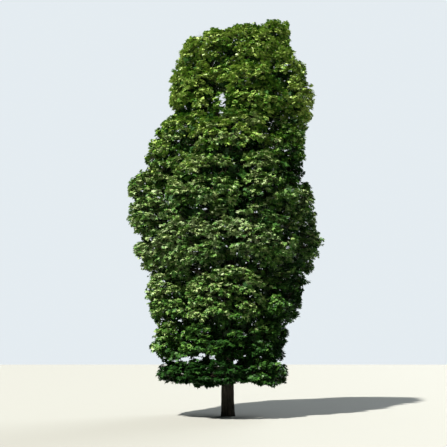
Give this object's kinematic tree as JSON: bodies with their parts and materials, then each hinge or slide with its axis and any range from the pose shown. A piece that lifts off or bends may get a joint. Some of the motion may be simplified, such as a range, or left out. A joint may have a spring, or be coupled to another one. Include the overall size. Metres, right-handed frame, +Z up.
{
  "type": "columnar norway maple tree",
  "caption": "Tall narrow maple tree in full leaf: one trunk, a low fork of leaders, upswept boughs and tiers of leaf masses under a flat, sloping top.",
  "frame": {"origin": "centre of the flat cut under the trunk, at ground level", "axes": "+Z up the trunk; +X to the right and +Y away from the viewer on the side that the picture shows"},
  "size_m": [6.1044, 5.4511, 13.2516],
  "materials": {
    "bark": "rough, finely ridged grey-brown bark",
    "leaves_light": "soft satin, bright green outer leaves",
    "leaves_mid": "soft satin, mid green leaves",
    "leaves_deep": "soft satin, deep green inner leaves"
  },
  "bodies": {
    "root": {"bough_01_skirt_left": "bark", "bough_02_skirt_right": "bark", "bough_03_low_left": "bark", "bough_04_low_right": "bark", "bough_05_second_left": "bark", "bough_06_second_right": "bark", "bough_07_third_left": "bark", "bough_08_third_right": "bark", "bough_09_fourth_left": "bark", "bough_10_fourth_right": "bark", "bough_11_fourth_back": "bark", "bough_12_fourth_front": "bark", "bough_13_fifth_right": "bark", "bough_14_fifth_left": "bark", "foliage_01_skirt_left": "leaves_deep", "foliage_02_skirt_front": "leaves_deep", "foliage_03_skirt_right_front": "leaves_deep", "foliage_04_skirt_right_back": "leaves_deep", "foliage_05_skirt_back": "leaves_deep", "foliage_06_low_left": "leaves_light", "foliage_07_low_front": "leaves_mid", "foliage_08_low_right_front": "leaves_deep", "foliage_09_low_right_back": "leaves_light", "foliage_10_low_back": "leaves_mid", "foliage_11_second_left": "leaves_deep", "foliage_12_second_front": "leaves_light", "foliage_13_second_right_front": "leaves_mid", "foliage_14_second_right_back": "leaves_deep", "foliage_15_second_back": "leaves_light", "foliage_16_third_left": "leaves_mid", "foliage_17_third_front_left": "leaves_deep", "foliage_18_third_front_right": "leaves_light", "foliage_19_third_right": "leaves_mid", "foliage_20_third_back_right": "leaves_deep", "foliage_21_third_back_left": "leaves_light", "foliage_22_fourth_left_low": "leaves_mid", "foliage_23_fourth_left_high": "leaves_deep", "foliage_24_fourth_front": "leaves_light", "foliage_25_fourth_front_right": "leaves_mid", "foliage_26_fourth_right": "leaves_deep", "foliage_27_fourth_back_right": "leaves_light", "foliage_28_fourth_back_left": "leaves_mid", "foliage_29_fifth_left": "leaves_deep", "foliage_30_fifth_front": "leaves_light", "foliage_31_fifth_right": "leaves_mid", "foliage_32_fifth_back_right": "leaves_deep", "foliage_33_fifth_back_left": "leaves_light", "foliage_34_sixth_left": "leaves_mid", "foliage_35_sixth_front_right": "leaves_deep", "foliage_36_sixth_right": "leaves_light", "foliage_37_sixth_back": "leaves_mid", "foliage_38_top_left_shoulder": "leaves_light", "foliage_39_top_centre_left": "leaves_light", "foliage_40_top_centre_right": "leaves_light", "foliage_41_top_right": "leaves_light", "foliage_42_top_right_low": "leaves_light", "foliage_43_top_back": "leaves_light", "leader_left": "bark", "leader_right": "bark", "trunk": "bark"}
  },
  "joints": []
}
